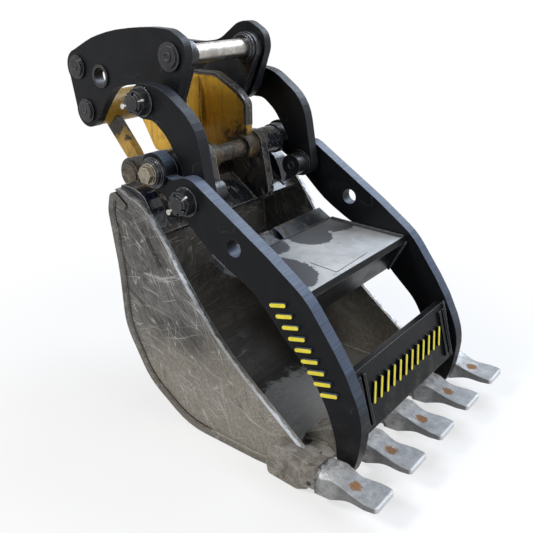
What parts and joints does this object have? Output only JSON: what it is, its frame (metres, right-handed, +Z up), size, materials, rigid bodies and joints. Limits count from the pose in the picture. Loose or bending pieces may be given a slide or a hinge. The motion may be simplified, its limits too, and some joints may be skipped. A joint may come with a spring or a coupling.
{
  "type": "excavator thumb",
  "caption": "Twin-arm excavator thumb closed on a toothed bucket, with its curved links, crank plates, stick end and rear link.",
  "frame": {"origin": "middle of the assembly's footprint, on the ground under the bucket's belly", "axes": "+X forward to the teeth and the thumb's tips, +Y to the far side, +Z up"},
  "size_m": [1.1232, 0.6996, 0.9741],
  "materials": {
    "black_paint": "satin",
    "worn_steel": "matte",
    "yellow_paint": "satin",
    "cast_teeth": "matte",
    "cast_adapters": "matte",
    "plated_steel": "satin",
    "dark_fittings": "satin"
  },
  "bodies": {
    "bucket": {"bucket_shell": "worn_steel", "top_plate": "worn_steel", "side_plate_near": "worn_steel", "side_plate_far": "worn_steel", "corner_gussets": "worn_steel", "ear_near": "worn_steel", "ear_far": "worn_steel", "ear_bosses": "worn_steel", "cutting_edge": "worn_steel", "tooth_adapters": "cast_adapters", "teeth": "cast_teeth", "tooth_pins": "dark_fittings", "main_pin": "plated_steel", "main_pin_washers": "dark_fittings", "main_pin_bolts": "plated_steel", "rear_pin": "plated_steel", "rear_pin_collars": "dark_fittings"},
    "stick_end": {"stick_plate_near": "yellow_paint", "stick_plate_far": "yellow_paint", "stick_web": "yellow_paint", "stick_bosses": "yellow_paint", "cheek_near": "dark_fittings", "cheek_far": "dark_fittings", "cheek_pads": "dark_fittings", "stick_pin": "plated_steel", "stick_pin_seals": "dark_fittings", "stick_pin_caps": "dark_fittings"},
    "thumb": {"arm_near": "black_paint", "arm_far": "black_paint", "arm_hubs": "black_paint", "upper_cross_plate": "black_paint", "upper_front_flange": "black_paint", "upper_rear_strip": "black_paint", "lower_cross_plate": "black_paint", "end_bars": "black_paint", "arm_pins": "dark_fittings", "arm_pin_washers": "dark_fittings", "arm_pin_nuts": "dark_fittings", "arm_pin_cotters": "plated_steel"},
    "crank": {"crank_plate_near": "black_paint", "crank_plate_far": "black_paint", "rear_link_pin": "plated_steel", "rod_pin": "plated_steel", "pin_caps": "dark_fittings", "spare_bushes": "dark_fittings", "link_pins": "dark_fittings", "link_pin_washers": "dark_fittings", "link_pin_nuts": "dark_fittings", "link_pin_cotters": "plated_steel"},
    "curved_links": {"curved_link_near": "black_paint", "curved_link_far": "black_paint"},
    "rear_link": {"rear_link_top_tube": "yellow_paint", "rear_link_low_tube": "yellow_paint", "rear_link_leg_near": "yellow_paint", "rear_link_leg_far": "yellow_paint"}
  },
  "joints": [
    {"name": "thumb_swing", "type": "hinge", "parent": "bucket", "child": "thumb", "pos_m": [-0.13062, 0, 0.655], "axis": [0, -1, 0], "range_deg": [0, 25]},
    {"name": "stick_swing", "type": "hinge", "parent": "bucket", "child": "stick_end", "pos_m": [-0.13062, 0, 0.655], "axis": [0, -1, 0], "range_deg": [0, 11]},
    {"name": "crank_rock", "type": "hinge", "parent": "stick_end", "child": "crank", "pos_m": [-0.16282, 0, 0.9088], "axis": [0, -1, 0], "range_deg": [-8, 0]},
    {"name": "rear_link_swing", "type": "hinge", "parent": "crank", "child": "rear_link", "pos_m": [-0.49262, 0, 0.7452], "axis": [0, -1, 0], "range_deg": [0, 10.5]},
    {"name": "curved_link_swing", "type": "hinge", "parent": "crank", "child": "curved_links", "pos_m": [-0.19782, 0, 0.8096], "axis": [0, -1, 0], "range_deg": [0, 15]}
  ],
  "couplings": [
    {"joint": "stick_swing", "follows": "thumb_swing", "ratio": 0.4286},
    {"joint": "crank_rock", "follows": "thumb_swing", "ratio": -0.2963},
    {"joint": "rear_link_swing", "follows": "thumb_swing", "ratio": 0.3973},
    {"joint": "curved_link_swing", "follows": "thumb_swing", "ratio": 0.5657}
  ]
}
